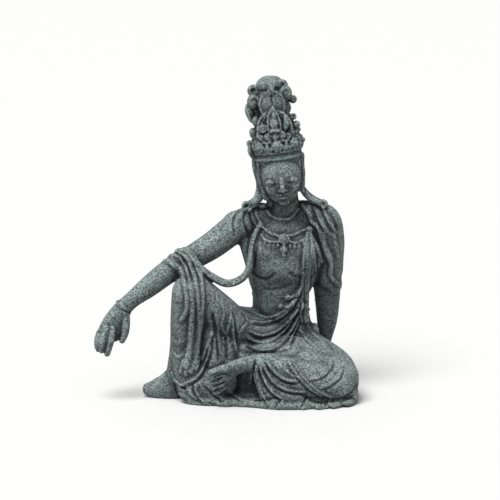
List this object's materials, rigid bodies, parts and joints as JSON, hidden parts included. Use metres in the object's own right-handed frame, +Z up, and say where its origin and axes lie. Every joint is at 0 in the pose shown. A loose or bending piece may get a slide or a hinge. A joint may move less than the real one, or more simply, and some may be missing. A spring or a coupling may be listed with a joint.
{
  "type": "guanyin statue",
  "caption": "Seated guanyin statue in the pose of royal ease, one knee raised, in draped robes and a tall crown, standing on its flat underside.",
  "frame": {"origin": "middle of the bounding box in plan, on the flat underside the statue stands on", "axes": "+Z up along the figure, -Y is the way the figure faces, +X is the figure's left hand side, where it leans on its straight arm"},
  "size_m": [0.1582, 0.0814, 0.1942],
  "materials": {
    "stone": "stone-filled resin, cast in one piece, dull and finely speckled in dark and pale grains like granite"
  },
  "bodies": {
    "root": {"statue": "stone"}
  },
  "joints": []
}
